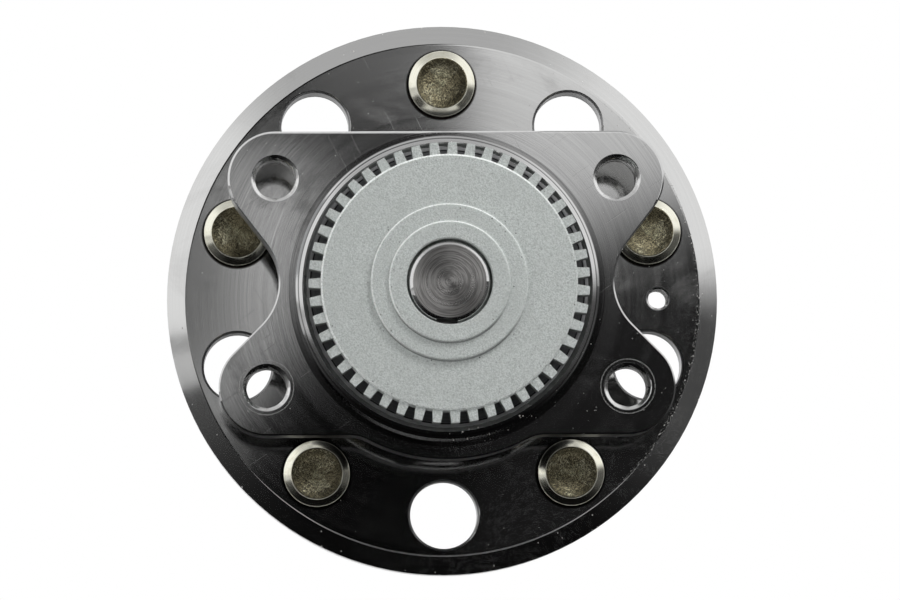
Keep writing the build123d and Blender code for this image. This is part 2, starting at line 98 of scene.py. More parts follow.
def tint(tree, share, first, second):
    """Colour between two colours by a mask."""
    feeds = {"Factor": share, 6: first, 7: second}
    return place(tree, "Mix", feeds, data_type="RGBA").outputs[2]


def coats(tree, colour, *layers):
    """Colour with others laid over it in turn, each by its mask."""
    for mask, layer in layers:
        colour = tint(tree, mask, colour, layer)
    return colour


def rgb(red, green, blue):
    return (red, green, blue, 1.0)


def new_group(name, inputs, outputs):
    """Empty shader group with number sockets; gives its tree, its inputs and its outputs."""
    tree = bpy.data.node_groups.new(name, "ShaderNodeTree")
    for label, start in inputs.items():
        socket = tree.interface.new_socket(label, in_out="INPUT", socket_type="NodeSocketFloat")
        socket.default_value = start
    for label in outputs:
        tree.interface.new_socket(label, in_out="OUTPUT", socket_type="NodeSocketFloat")
    entry = tree.nodes.new("NodeGroupInput")
    leave = tree.nodes.new("NodeGroupOutput")
    return tree, entry.outputs, leave.inputs


def use(tree, group, **values):
    """Places a group in a material; a name's underscores stand for the socket's spaces."""
    made = place(tree, "Group", node_tree=group)
    for name, value in values.items():
        socket = made.inputs[name.replace("_", " ")]
        if isinstance(value, bpy.types.NodeSocket):
            tree.links.new(value, socket)
        else:
            socket.default_value = value
    return made.outputs


def new_finish(name, roughness, metallic, **plain):
    """Material with a Principled shader; gives the material, its tree and the shader's inputs."""
    finish = bpy.data.materials.new(name)
    finish.use_nodes = True
    shader = finish.node_tree.nodes["Principled BSDF"].inputs
    shader["Roughness"].default_value = roughness
    shader["Metallic"].default_value = metallic
    for socket, value in plain.items():
        shader[socket.replace("_", " ")].default_value = value
    return finish, finish.node_tree, shader


def relief(tree, shader, *layers, normal=None):
    """Bumps on top of each other, each a height mask and its depth in millimetres."""
    for height, depth in layers:
        feeds = {"Height": height, "Distance": depth * MM, "Strength": 1.0}
        if normal is not None:
            feeds["Normal"] = normal
        normal = place(tree, "Bump", feeds).outputs[0]
    tree.links.new(normal, shader["Normal"])


def wire(tree, shader, **values):
    """Links sockets to the shader's own inputs."""
    for socket, value in values.items():
        tree.links.new(value, shader[socket.replace("_", " ")])


def paint(finish, *names):
    """Gives CAD nodes their finish."""
    for name in names:
        for held in nodes[name].material_slots:
            held.material = finish


# Where a point lies about the axis that the piece was turned on, in millimetres.
axis_place, _, leave = new_group(
    "place_about_axis", {}, ("Radius", "Depth", "Turn X", "Turn Z", "Facing")
)
spot = place(axis_place, "TexCoord")
split = place(axis_place, "SeparateXYZ", {0: spot.outputs["Object"]}).outputs
across = reckon(axis_place, "MULTIPLY", split[0], split[0])
across = reckon(axis_place, "MULTIPLY_ADD", split[2], split[2], across)
metres = reckon(axis_place, "MAXIMUM", reckon(axis_place, "SQRT", across), 1e-6)
lean = place(axis_place, "SeparateXYZ", {0: spot.outputs["Normal"]}).outputs
for label, value in (
    ("Radius", reckon(axis_place, "MULTIPLY", metres, 1000.0)),
    ("Depth", reckon(axis_place, "MULTIPLY", split[1], -1000.0)),
    ("Turn X", reckon(axis_place, "DIVIDE", split[0], metres)),
    ("Turn Z", reckon(axis_place, "DIVIDE", split[2], metres)),
    ("Facing", reckon(axis_place, "ABSOLUTE", lean[1])),
):
    axis_place.links.new(value, leave[label])

# Feed lines of a turning tool: rings on a face, hoops on a cylinder, fading as they go round.
turned_lines, entry, leave = new_group(
    "turned_lines",
    {"Radius": 0.0, "Depth": 0.0, "Turn X": 0.0, "Turn Z": 0.0, "Pitch": 0.3, "Wander": 0.5},
    ("Lines", "Bands"),
)
rings = reckon(turned_lines, "DIVIDE", entry["Radius"], entry["Pitch"])
hoops = reckon(turned_lines, "DIVIDE", entry["Depth"], entry["Pitch"])
sway = reckon(turned_lines, "MULTIPLY", entry["Turn X"], entry["Wander"])
swing = reckon(turned_lines, "MULTIPLY", entry["Turn Z"], entry["Wander"])
line_at = place(turned_lines, "CombineXYZ", {0: rings, 1: hoops, 2: sway}).outputs[0]
line_noise = place(
    turned_lines,
    "TexNoise",
    {"Vector": line_at, "W": swing, "Scale": 1.0, "Detail": 2.0, "Roughness": 0.7},
    noise_dimensions="4D",
).outputs[0]
band_noise = place(
    turned_lines,
    "TexNoise",
    {"Vector": line_at, "W": swing, "Scale": 0.11, "Detail": 1.0},
    noise_dimensions="4D",
).outputs[0]
turned_lines.links.new(ramp(turned_lines, line_noise, 0.25, 0.75), leave["Lines"])
turned_lines.links.new(ramp(turned_lines, band_noise, 0.3, 0.7), leave["Bands"])

# Thin film of preserving oil, wiped and fingered: soft cloudy patches.
oil_film, entry, leave = new_group("oil_film", {"Size": 20.0, "Spread": 0.5}, ("Film",))
spot = place(oil_film, "TexCoord").outputs["Object"]
patches = place(
    oil_film,
    "TexNoise",
    {
        "Vector": spot,
        "Scale": reckon(oil_film, "DIVIDE", 1000.0, entry["Size"]),
        "Detail": 5.0,
        "Roughness": 0.62,
        "Distortion": 0.7,
    },
).outputs[0]
edge_low = reckon(oil_film, "SUBTRACT", 0.72, reckon(oil_film, "MULTIPLY", entry["Spread"], 0.4))
edge_high = reckon(oil_film, "ADD", edge_low, 0.16)
oil_film.links.new(ramp(oil_film, patches, edge_low, edge_high), leave["Film"])

# Settled dust and lint: pale specks of mixed size that lie in loose drifts.
dust_specks, entry, leave = new_group("dust_specks", {"Cell": 2.0, "Amount": 0.4}, ("Specks",))
spot = place(dust_specks, "TexCoord").outputs["Object"]
cells = place(
    dust_specks,
    "TexVoronoi",
    {"Vector": spot, "Scale": reckon(dust_specks, "DIVIDE", 1000.0, entry["Cell"])},
).outputs
chance = place(dust_specks, "SeparateColor", {0: cells["Color"]}).outputs
drift = place(dust_specks, "TexNoise", {"Vector": spot, "Scale": 45.0, "Detail": 2.0}).outputs[0]
drift = ramp(dust_specks, drift, 0.4, 0.7, 0.1, 1.0)
size = reckon(dust_specks, "MULTIPLY_ADD", chance[1], 0.16, 0.03)
inside = reckon(dust_specks, "SUBTRACT", size, cells["Distance"])
inside = reckon(dust_specks, "MULTIPLY", inside, 25.0, clamp=True)
kept = reckon(dust_specks, "MULTIPLY", entry["Amount"], drift)
kept = reckon(dust_specks, "LESS_THAN", chance[0], kept)
dust_specks.links.new(reckon(dust_specks, "MULTIPLY", inside, kept), leave["Specks"])

# Hairline scratches from handling, in two crossing directions.
hair_scratches, entry, leave = new_group("hair_scratches", {"Amount": 0.5}, ("Scratches",))
spot = place(hair_scratches, "TexCoord").outputs["Object"]
found = None
for swing, seed in ((0.6, 3.0), (-1.1, 11.0)):
    turned_spot = place(
        hair_scratches,
        "Mapping",
        {"Vector": spot, "Location": (seed, seed, 0.0), "Rotation": (0.0, swing, 0.0)},
    ).outputs[0]
    drawn = place(
        hair_scratches, "Mapping", {"Vector": turned_spot, "Scale": (55.0, 200.0, 2600.0)}
    ).outputs[0]
    hairs = place(hair_scratches, "TexNoise", {"Vector": drawn, "Scale": 1.0, "Detail": 1.0})
    hairs = ramp(hair_scratches, hairs.outputs[0], 0.7, 0.76)
    found = hairs if found is None else either(hair_scratches, found, hairs)
found = both(hair_scratches, found, entry["Amount"])
hair_scratches.links.new(found, leave["Scratches"])

# Grain of a rough surface: forging skin, sintered or blasted metal, moulded rubber.
rough_grain, entry, leave = new_group(
    "rough_grain", {"Grain": 0.3, "Pits": 0.3}, ("Grain", "Pits")
)
spot = place(rough_grain, "TexCoord").outputs["Object"]
per_metre = reckon(rough_grain, "DIVIDE", 1000.0, entry["Grain"])
grains = place(
    rough_grain, "TexNoise", {"Vector": spot, "Scale": per_metre, "Detail": 3.0, "Roughness": 0.65}
).outputs[0]
pit_cells = place(
    rough_grain,
    "TexVoronoi",
    {"Vector": spot, "Scale": reckon(rough_grain, "MULTIPLY", per_metre, 0.5)},
).outputs
pit_chance = place(rough_grain, "SeparateColor", {0: pit_cells["Color"]}).outputs[0]
pit_kept = reckon(rough_grain, "LESS_THAN", pit_chance, entry["Pits"])
pit_shape = fall(rough_grain, pit_cells["Distance"], 0.22, 0.42)
rough_grain.links.new(ramp(rough_grain, grains, 0.3, 0.7), leave["Grain"])
rough_grain.links.new(both(rough_grain, pit_shape, pit_kept), leave["Pits"])


def around_axis(tree):
    """Place about the axis and the sockets that the turned lines need."""
    at = use(tree, axis_place)
    return at, {
        "Radius": at["Radius"],
        "Depth": at["Depth"],
        "Turn_X": at["Turn X"],
        "Turn_Z": at["Turn Z"],
    }


def slope(tree, value, low, high, to_low=0.0, to_high=1.0):
    """Straight rise of a value between two limits, held outside them."""
    feeds = dict(enumerate((value, low, high, to_low, to_high)))
    return place(tree, "MapRange", feeds).outputs[0]


def nearest(tree, centres):
    """Distance in millimetres, seen along the axis, to the nearest of some centres."""
    spot = place(tree, "TexCoord").outputs["Object"]
    flat = place(tree, "VectorMath", {0: spot, 1: (1000.0, 0.0, 1000.0)}, operation="MULTIPLY")
    least = None
    for x, z in centres:
        feeds = {0: flat.outputs[0], 1: (x, 0.0, z)}
        away = place(tree, "VectorMath", feeds, operation="DISTANCE").outputs["Value"]
        least = away if least is None else reckon(tree, "MINIMUM", least, away)
    return least


def ring_band(tree, value, middle, half_width, soft):
    """Mask that is one in a band about a value and fades over a soft edge."""
    off = reckon(tree, "ABSOLUTE", reckon(tree, "SUBTRACT", value, middle))
    return fall(tree, off, half_width, half_width + soft)


def towards_low_right(tree, at, least, most):
    """Share that grows towards the lower right, seen from the knuckle."""
    away = reckon(tree, "SUBTRACT", at["Turn X"], at["Turn Z"])
    return ramp(tree, away, 0.4, 1.4, least, most)


GROUND_STEEL = rgb(0.69, 0.69, 0.685)
FLANGE_STEEL = rgb(0.65, 0.65, 0.645)
DRILLED_STEEL = rgb(0.44, 0.44, 0.445)
SPINDLE_END_LIGHT = rgb(0.5, 0.49, 0.48)
SPINDLE_END_DARK = rgb(0.26, 0.253, 0.248)
NEAR_BLACK_STEEL = rgb(0.075, 0.078, 0.082)
OIL_STAIN = rgb(0.46, 0.455, 0.45)
KEYWAY_SHADE = rgb(0.01, 0.01, 0.01)
STUD_SEAT_SHADOW = rgb(0.02, 0.018, 0.014)
DUST = rgb(0.6, 0.59, 0.56)

FLANGE_THICKNESS = 10.0
RIM_CONE_START = 68.2
RIM_CONE_WIDTH = 4.8
RIM_CONE_DROP = 2.0
RIM_CONE_FOOT = FLANGE_THICKNESS - RIM_CONE_DROP
STUD_CIRCLE = 57.15
STUD_ANGLES = (90.0, 162.0, 234.0, 306.0, 18.0)
STUD_HEAD = 8.75
ACCESS_HOLE = 8.95
ACCESS_TURN = 36.0  # degrees from a stud to the next access hole
SCREW_HOLE = 3.0
CUP_RADIUS = 27.0
CUP_FLOOR = 1.0
SPINDLE_END = 66.9
SPINDLE_TIP = 10.35
END_FACE = 9.25
KEYWAY_START = 51.0
KEYWAY_FLOOR = 9.5


def on_stud_circle(*angles):
    """Centres on the stud circle, as X and Z in millimetres."""
    turns = [math.radians(angle) for angle in angles]
    return [(STUD_CIRCLE * math.cos(turn), STUD_CIRCLE * math.sin(turn)) for turn in turns]


STUD_CENTRES = on_stud_circle(*STUD_ANGLES)
ACCESS_CENTRES = on_stud_circle(*(angle + ACCESS_TURN for angle in STUD_ANGLES))

hub_finish, tree, shader = new_finish("turned_hub_steel", 0.2, 1.0)
at, here = around_axis(tree)
fine = use(tree, turned_lines, Pitch=0.22, Wander=0.9, **here)
end_lines = use(tree, turned_lines, Pitch=0.2, Wander=0.9, **here)["Lines"]
film = use(tree, oil_film, Size=26.0, Spread=0.45)["Film"]
scratches = use(tree, hair_scratches, Amount=0.5)["Scratches"]
skin = use(tree, rough_grain, Grain=0.8, Pits=0.25)["Grain"]
dusty = towards_low_right(tree, at, 0.14, 0.65)
haze = both(
    tree,
    use(tree, oil_film, Size=8.0, Spread=0.75)["Film"],
    ramp(tree, skin, 0.3, 0.8),
    dusty,
    0.045,
)
chips = place(tree, "TexNoise", {"Scale": 520.0, "Detail": 1.0}).outputs[0]
rim_chips = both(
    tree,
    ring_band(tree, at["Radius"], RIM_CONE_START - 0.25, 0.35, 0.25),
    ramp(tree, at["Turn X"], 0.6, 0.95),
    ramp(tree, chips, 0.645, 0.68),
)
specks = either(tree, use(tree, dust_specks, Cell=1.3, Amount=dusty)["Specks"], rim_chips)
# Painted contact shadow: a dark ring on the flange face round each stud head.
stud_head_shadow = both(
    tree,
    ring_band(tree, nearest(tree, STUD_CENTRES), STUD_HEAD, 0.35, 0.55),
    ramp(tree, at["Depth"], FLANGE_THICKNESS - 0.4, FLANGE_THICKNESS - 0.1),
)
in_cup = both(
    tree,
    fall(tree, at["Radius"], CUP_RADIUS - 0.4, CUP_RADIUS + 0.1),
    fall(tree, at["Depth"], CUP_FLOOR + 0.3, CUP_FLOOR + 0.6),
)
on_end = both(
    tree,
    ramp(tree, at["Depth"], SPINDLE_END - 0.7, SPINDLE_END - 0.4),
    fall(tree, at["Radius"], END_FACE + 0.05, END_FACE + 0.35),
)
drilled = either(
    tree,
    slope(tree, nearest(tree, ACCESS_CENTRES), ACCESS_HOLE + 0.3, ACCESS_HOLE + 0.6, 1.0, 0.0),
    slope(tree, nearest(tree, on_stud_circle(0.0)), SCREW_HOLE + 0.1, SCREW_HOLE + 0.25, 1.0, 0.0),
)
keyway = both(
    tree,
    ramp(tree, at["Depth"], KEYWAY_START, KEYWAY_START + 0.5),
    ramp(tree, at["Turn Z"], -0.94, -0.96),
    fall(tree, at["Radius"], KEYWAY_FLOOR + 0.2, KEYWAY_FLOOR + 0.4),
    fall(tree, at["Facing"], 0.4, 0.6),
)
steel = coats(
    tree,
    tint(tree, fine["Lines"], FLANGE_STEEL, GROUND_STEEL),
    (both(tree, film, 0.3), OIL_STAIN),
    (on_end, tint(tree, ramp(tree, end_lines, 0.3, 0.75), SPINDLE_END_DARK, SPINDLE_END_LIGHT)),
    (keyway, KEYWAY_SHADE),
    (drilled, DRILLED_STEEL),
    (haze, DUST),
    (in_cup, NEAR_BLACK_STEEL),
    (stud_head_shadow, STUD_SEAT_SHADOW),
    (specks, DUST),
)
rough = plus(
    tree,
    0.06,
    (film, 0.05),
    (fine["Bands"], 0.02),
    (on_end, 0.21),
    (in_cup, 0.35),
    (drilled, 0.3),
    (ramp(tree, at["Radius"], RIM_CONE_START - 0.1, RIM_CONE_START + 0.1), 0.04),
    (fall(tree, at["Depth"], CUP_FLOOR, FLANGE_THICKNESS / 2), 0.06),
    (specks, 0.5),
)
metal = plus(tree, 1.0, (specks, -0.8), (haze, -1.0))

# The rim's cone is shaded by its true form, so that its long facets don't show.
on_cone = both(
    tree,
    ramp(tree, at["Radius"], RIM_CONE_START + 0.1, RIM_CONE_START + 0.2),
    ramp(tree, at["Depth"], RIM_CONE_FOOT, RIM_CONE_FOOT + 0.1),
)
out_x = reckon(tree, "MULTIPLY", at["Turn X"], RIM_CONE_DROP / RIM_CONE_WIDTH)
out_z = reckon(tree, "MULTIPLY", at["Turn Z"], RIM_CONE_DROP / RIM_CONE_WIDTH)
straight = place(tree, "CombineXYZ", {0: out_x, 1: -1.0, 2: out_z}).outputs[0]
turned = {"vector_type": "NORMAL", "convert_from": "OBJECT", "convert_to": "WORLD"}
straight = place(tree, "VectorTransform", {0: straight}, **turned).outputs[0]
straight = place(tree, "VectorMath", {0: straight}, operation="NORMALIZE").outputs[0]
facets = place(tree, "NewGeometry").outputs["Normal"]
blend = {"Factor": on_cone, 4: facets, 5: straight}
true_cone = place(tree, "Mix", blend, data_type="VECTOR").outputs[1]
end_chamfer = both(
    tree,
    slope(tree, at["Radius"], END_FACE - 0.05, SPINDLE_TIP + 0.05),
    ramp(tree, at["Depth"], SPINDLE_END - 1.4, SPINDLE_END - 1.2),
)
relief(
    tree,
    shader,
    (fine["Lines"], 0.0006),
    (scratches, -0.0015),
    (both(tree, end_lines, on_end), 0.008),
    (end_chamfer, 0.85),
    (both(tree, skin, in_cup), 0.09),
    (fall(tree, at["Radius"], RIM_CONE_START - 0.4, RIM_CONE_START), 0.02),
    (specks, 0.05),
    normal=true_cone,
)
wire(tree, shader, Base_Color=steel, Roughness=rough, Metallic=metal)

# The facing rings draw the shine of the spindle end out across them.
along = place(tree, "SeparateXYZ", {0: place(tree, "TexCoord").outputs["Object"]}).outputs["Y"]
combed = slope(tree, along, (0.4 - SPINDLE_END) * MM, (0.7 - SPINDLE_END) * MM, 0.97, 0.0)
grooves = place(tree, "Tangent", direction_type="RADIAL", axis="Y").outputs[0]
wire(tree, shader, Anisotropic=combed, Tangent=grooves)
shader["Anisotropic Rotation"].default_value = 0.25
paint(hub_finish, "wheel_hub")


# ---------------------------------------------------------------------------------------------
# Screw threads. The M6 hole of the brake disc's screw goes through the wheel flange, and the
# four M12 holes for the knuckle's bolts go through the lobes of the outer ring. The thread is
# a cut steel wall that starts in the 120 degree cone of each mouth.
THREAD_PROFILE = ((0.0, 0), (0.12, 0), (0.5, 1), (0.62, 1))  # share of a pitch, valley or ridge
CONE_SLOPE = math.radians(30)  # of a mouth's cone, from the face of the flange
MOUTH_DEPTH = 0.2
RUN_IN = 0.9  # rise of the first ridges out of the cone
LINING_WALL = 0.1
LINING_STEPS = 64
SCREW_THREAD = (SCREW_HOLE, 2.55, 1.0)  # valley and ridge radius, pitch
THREAD_LIGHT = rgb(0.9, 0.9, 0.89)
THREAD_DARK = rgb(0.64, 0.64, 0.64)
THREAD_OIL = rgb(0.2, 0.19, 0.18)


def spiral_wall(mesh, radii, pitch, start, end, shape, steps):
    """Wall of a thread about the Y axis as one spiral strip; shape trims a radius at the ends."""
    rows = []
    for step in range(round((end - start + pitch) / pitch * steps) + steps + 1):
        turn = 2 * math.pi * step / steps
        base = start - pitch + pitch * step / steps
        row = []
        for share, ridge in THREAD_PROFILE:
            along = min(max(base + share * pitch, start), end)
            radius = shape(along, radii[ridge])
            row.append(
                mesh.verts.new((radius * math.cos(turn), along, radius * math.sin(turn)))
            )
        rows.append(row)
    for step in range(len(rows) - 1):
        near, far = rows[step], rows[step + 1]
        for first in range(len(THREAD_PROFILE) - 1):
            mesh.faces.new((near[first], near[first + 1], far[first + 1], far[first]))
        if step + 1 + steps < len(rows):
            after, beyond = rows[step + steps], rows[step + 1 + steps]
            mesh.faces.new((near[-1], after[0], beyond[0], far[-1]))
    bmesh.ops.remove_doubles(mesh, verts=mesh.verts[:], dist=1e-7)
    bmesh.ops.dissolve_degenerate(mesh, edges=mesh.edges[:], dist=1e-8)


def hoop(mesh, radius, along, steps):
    """Ring of points about the Y axis."""
    ring = []
    for step in range(steps):
        turn = 2 * math.pi * step / steps
        ring.append(mesh.verts.new((radius * math.cos(turn), along, radius * math.sin(turn))))
    return ring


def span(mesh, first, second):
    """Faces between two rings of points."""
    for step in range(len(first)):
        after = (step + 1) % len(first)
        mesh.faces.new((first[step], first[after], second[after], second[step]))


def open_edge(mesh, along):
    """Points of a wall's open edge at one end, in turn about the axis."""
    points = [vert for vert in mesh.verts if abs(vert.co.y - along) < 1e-8 and vert.is_boundary]
    return sorted(points, key=lambda vert: math.atan2(vert.co.z, vert.co.x) % (2 * math.pi))


def finished(mesh, name, finish, smooth_below):
    """Turns mesh code into a piece with its finish; edges over the angle stay sharp."""
    loose = [vert for vert in mesh.verts if not vert.link_faces]
    bmesh.ops.delete(mesh, geom=loose, context="VERTS")
    bmesh.ops.recalc_face_normals(mesh, faces=mesh.faces[:])
    data = bpy.data.meshes.new(name)
    mesh.to_mesh(data)
    mesh.free()
    data.materials.append(finish)
    for face in data.polygons:
        face.use_smooth = True
    data.set_sharp_from_angle(angle=math.radians(smooth_below))
    made = bpy.data.objects.new(name, data)
    bpy.context.scene.collection.objects.link(made)
    return made


# Cut thread, with dark cutting oil left in its valleys.
thread_finish, tree, shader = new_finish("cut_thread_steel", 0.3, 1.0)
_, here = around_axis(tree)
lines = use(tree, turned_lines, Pitch=0.12, Wander=1.5, **here)["Lines"]
film = use(tree, oil_film, Size=3.0, Spread=0.6)["Film"]
colour = tint(tree, lines, THREAD_DARK, THREAD_LIGHT)
colour = tint(tree, both(tree, film, 0.3), colour, THREAD_OIL)
relief(tree, shader, (lines, 0.003), (film, -0.004))
wire(tree, shader, Base_Color=colour, Roughness=plus(tree, 0.16, (film, 0.15)))


def tapped_lining(name, body, middle, thread, length):
    """Threaded wall of a through hole, from its mouth on the knuckle side along +Y."""
    valley, ridge, pitch = thread
    mesh = bmesh.new()

    def within_cones(along, radius):
        edge = min(along, length * MM - along) / MM
        cone = valley - (edge - MOUTH_DEPTH) / math.tan(CONE_SLOPE)
        if cone > ridge:
            return cone * MM
        return min(radius, (ridge + RUN_IN * (ridge - cone)) * MM)

    start, end = MOUTH_DEPTH * MM, length * MM - MOUTH_DEPTH * MM
    radii = (valley * MM, ridge * MM)
    spiral_wall(mesh, radii, pitch * MM, start, end, within_cones, LINING_STEPS)
    inner = [open_edge(mesh, along) for along in (start, end)]
    outer = [
        hoop(mesh, (valley + LINING_WALL) * MM, along, LINING_STEPS) for along in (start, end)
    ]
    for first, second in (*zip(inner, outer), outer):
        span(mesh, first, second)
    lining = finished(mesh, name, thread_finish, smooth_below=30)
    lining.matrix_world = Matrix.Translation(middle * MM)
    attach(lining, body)


tapped_lining(
    "rotor_screw_thread",
    "hub",
    Vector((STUD_CIRCLE, -FLANGE_THICKNESS, 0.0)),
    SCREW_THREAD,
    FLANGE_THICKNESS,
)

# ---------------------------------------------------------------------------------------------
# Outer ring: the stationary half, one forging with both outer races and the four-lobed flange
# that bolts to the knuckle. The flange faces and the spigot are turned; the edge of the flange
# keeps the blasted skin of the forging.
MOUNTING_FACE = 44.0
MOUNTING_THICKNESS = 12.0
MOUNTING_BACK = MOUNTING_FACE - MOUNTING_THICKNESS
FLANGE_TOP = 41.1
LOBE_RADIUS = 12.3
LOBE_SIDE, LOBE_RISE = 0.897, 0.442  # direction in which the upper lobes stand out
LOBE_ARC = 58.1  # how far out in that direction the arc of a lobe starts
WAIST_HEIGHT = 13.0
BOLT_CENTRES = ((-44.4, 28.8), (44.4, 28.8), (-46.8, -25.5), (46.8, -25.5))
BOLT_THREAD = (6.0, 5.2, 1.5)  # valley and ridge radius, pitch
SCUFF_RADIUS = 7.05
BARREL_RADIUS = 40.0
DARK_BARREL_END = 18.0
SPIGOT_RADIUS = 39.3
SPIGOT_FACE = 50.5
SPIGOT_CREST = 37.5
SEAL_BORE = 36.4
DULL_STEEL = rgb(0.57, 0.57, 0.57)
BLASTED_SKIN = rgb(0.36, 0.365, 0.37)
UNDERSIDE_SHADE = rgb(0.06, 0.06, 0.06)
SEAT_SHADE = rgb(0.16, 0.16, 0.16)
CORNER_SHADE = rgb(0.1, 0.1, 0.1)
SCUFFED_STEEL = rgb(0.55, 0.55, 0.54)

ring_finish, tree, shader = new_finish("turned_ring_steel", 0.2, 1.0)
at, here = around_axis(tree)
fine = use(tree, turned_lines, Pitch=0.26, Wander=2.2, **here)
film = use(tree, oil_film, Size=22.0, Spread=0.4)["Film"]
scratches = use(tree, hair_scratches, Amount=0.5)["Scratches"]
skin = use(tree, rough_grain, Grain=0.55, Pits=0.3)["Grain"]
ragged = place(tree, "TexNoise", {"Scale": 700.0, "Detail": 2.0}).outputs[0]
dusty = towards_low_right(tree, at, 0.16, 0.75)
from_bolt = nearest(tree, BOLT_CENTRES)
height = reckon(tree, "MULTIPLY", at["Radius"], at["Turn Z"])
outline = both(
    tree,
    fall(tree, at["Facing"], 0.25, 0.5),
    ramp(tree, at["Radius"], FLANGE_TOP - 0.2, FLANGE_TOP),
    ramp(tree, at["Depth"], MOUNTING_BACK - 0.2, MOUNTING_BACK),
)
waist = both(
    tree,
    fall(tree, at["Facing"], 0.8, 0.9),
    ring_band(tree, height, WAIST_HEIGHT, 8.0, 4.0),
    ramp(tree, at["Turn X"], -0.5, -0.7),
)
flange_edge = either(tree, outline, waist)
underside = both(tree, flange_edge, slope(tree, height, -32.0, -18.0, 0.75, 0.0))
# The barrel is near black on its end towards the wheel flange, and turned steel beyond.
barrel = both(
    tree,
    ramp(tree, at["Radius"], BARREL_RADIUS - 1.0, BARREL_RADIUS - 0.7),
    fall(tree, at["Radius"], BARREL_RADIUS + 0.4, BARREL_RADIUS + 0.6),
    fall(tree, at["Depth"], DARK_BARREL_END - 1.0, DARK_BARREL_END + 1.0),
)
seat_groove = both(
    tree,
    ring_band(tree, at["Radius"], SPIGOT_RADIUS + 0.8, 0.9, 0.1),
    ramp(tree, at["Depth"], MOUNTING_FACE - 0.7, MOUNTING_FACE - 0.5),
    ramp(tree, at["Turn Z"], -0.4, 0.1, 0.9, 0.5),
)
spigot_corner = both(
    tree,
    ring_band(tree, at["Radius"], SPIGOT_RADIUS - 0.75, 0.1, 0.16),
    ramp(tree, at["Depth"], SPIGOT_FACE - 0.3, SPIGOT_FACE - 0.1),
    0.75,
)
scuff = both(
    tree,
    ring_band(tree, from_bolt, SCUFF_RADIUS, 0.04, 0.12),
    ramp(tree, ragged, 0.5, 0.66),
    ramp(tree, at["Depth"], MOUNTING_FACE - 0.3, MOUNTING_FACE - 0.1),
    ramp(tree, at["Turn Z"], -0.2, 0.1, 0.55, 0.0),
)
specks = use(tree, dust_specks, Cell=1.2, Amount=dusty)["Specks"]
specks = either(tree, specks, both(tree, scuff, 0.7))
steel = coats(
    tree,
    tint(tree, fine["Lines"], DULL_STEEL, GROUND_STEEL),
    (both(tree, film, 0.3), OIL_STAIN),
    (seat_groove, SEAT_SHADE),
    (flange_edge, BLASTED_SKIN),
    (underside, UNDERSIDE_SHADE),
    (barrel, NEAR_BLACK_STEEL),
    (spigot_corner, CORNER_SHADE),
    (scuff, SCUFFED_STEEL),
    (specks, DUST),
)
rough = plus(
    tree,
    0.055,
    (film, 0.04),
    (fine["Bands"], 0.02),
    (flange_edge, 0.25),
    (ramp(tree, at["Depth"], SPIGOT_FACE - 1.3, SPIGOT_FACE - 1.0), 0.07),
    (barrel, 0.4),
    (specks, 0.5),
)
metal = plus(tree, 1.0, (flange_edge, -0.12), (specks, -0.8))

# Rounded corners: the crest of the spigot's face, and the flange's edge on its upper half,
# where a point's reach tells a lobe's arc from the straight edges beside it.
off_crest = reckon(tree, "ABSOLUTE", reckon(tree, "SUBTRACT", at["Radius"], SPIGOT_CREST))
crest = reckon(
    tree,
    "ADD",
    slope(tree, off_crest, 0.0, 1.0, 1.0, 0.0),
    slope(tree, at["Radius"], SEAL_BORE, SEAL_BORE + 0.8, 2.0, 0.0),
)
spigot_crest = both(tree, crest, ramp(tree, at["Depth"], SPIGOT_FACE - 1.2, SPIGOT_FACE - 1.0))
spread = reckon(tree, "ABSOLUTE", reckon(tree, "MULTIPLY", at["Radius"], at["Turn X"]))
reach = reckon(tree, "MULTIPLY", height, LOBE_RISE)
reach = reckon(tree, "MULTIPLY_ADD", spread, LOBE_SIDE, reach)
lobe_arc = both(
    tree,
    slope(tree, from_bolt, LOBE_RADIUS - 0.55, LOBE_RADIUS + 0.1),
    slope(tree, reach, LOBE_ARC, LOBE_ARC + 1.5),
)
corner = both(
    tree,
    either(tree, lobe_arc, slope(tree, height, FLANGE_TOP - 0.6, FLANGE_TOP + 0.1)),
    slope(tree, height, 12.0, 24.0),
    slope(tree, at["Turn X"], 0.0, 0.6, 1.0, 0.3),
)
relief(
    tree,
    shader,
    (fine["Lines"], 0.0012),
    (scratches, -0.0015),
    (both(tree, skin, either(tree, flange_edge, barrel)), 0.05),
    (spigot_crest, 0.38),
    (corner, -0.33),
    (slope(tree, from_bolt, BOLT_THREAD[0], BOLT_THREAD[0] + 0.2, 1.0, 0.0), 0.1),
    (specks, 0.05),
)
wire(tree, shader, Base_Color=steel, Roughness=rough, Metallic=metal)
paint(ring_finish, "outer_ring")

for side, (x, z) in zip(("top_left", "top_right", "bottom_left", "bottom_right"), BOLT_CENTRES):
    tapped_lining(
        f"knuckle_bolt_thread_{side}",
        "housing",
        Vector((x, -MOUNTING_FACE, z)),
        BOLT_THREAD,
        MOUNTING_THICKNESS,
    )

# ---------------------------------------------------------------------------------------------
# Inner ring: hardened bearing steel, ground all over, pressed on the spindle and clamped by
# the nut. It carries the knuckle-side inner race.
RACE_LIGHT = rgb(0.66, 0.66, 0.67)
RACE_DARK = rgb(0.55, 0.55, 0.56)
RACE_OIL = rgb(0.5, 0.44, 0.3)

race_finish, tree, shader = new_finish("ground_race_steel", 0.14, 1.0)
_, here = around_axis(tree)
fine = use(tree, turned_lines, Pitch=0.12, Wander=0.6, **here)
film = use(tree, oil_film, Size=9.0, Spread=0.5)["Film"]
steel = tint(tree, fine["Lines"], RACE_DARK, RACE_LIGHT)
steel = tint(tree, both(tree, film, 0.4), steel, RACE_OIL)
relief(tree, shader, (fine["Lines"], 0.0006))
wire(tree, shader, Base_Color=steel, Roughness=plus(tree, 0.1, (film, 0.14)))
paint(race_finish, "inner_ring")

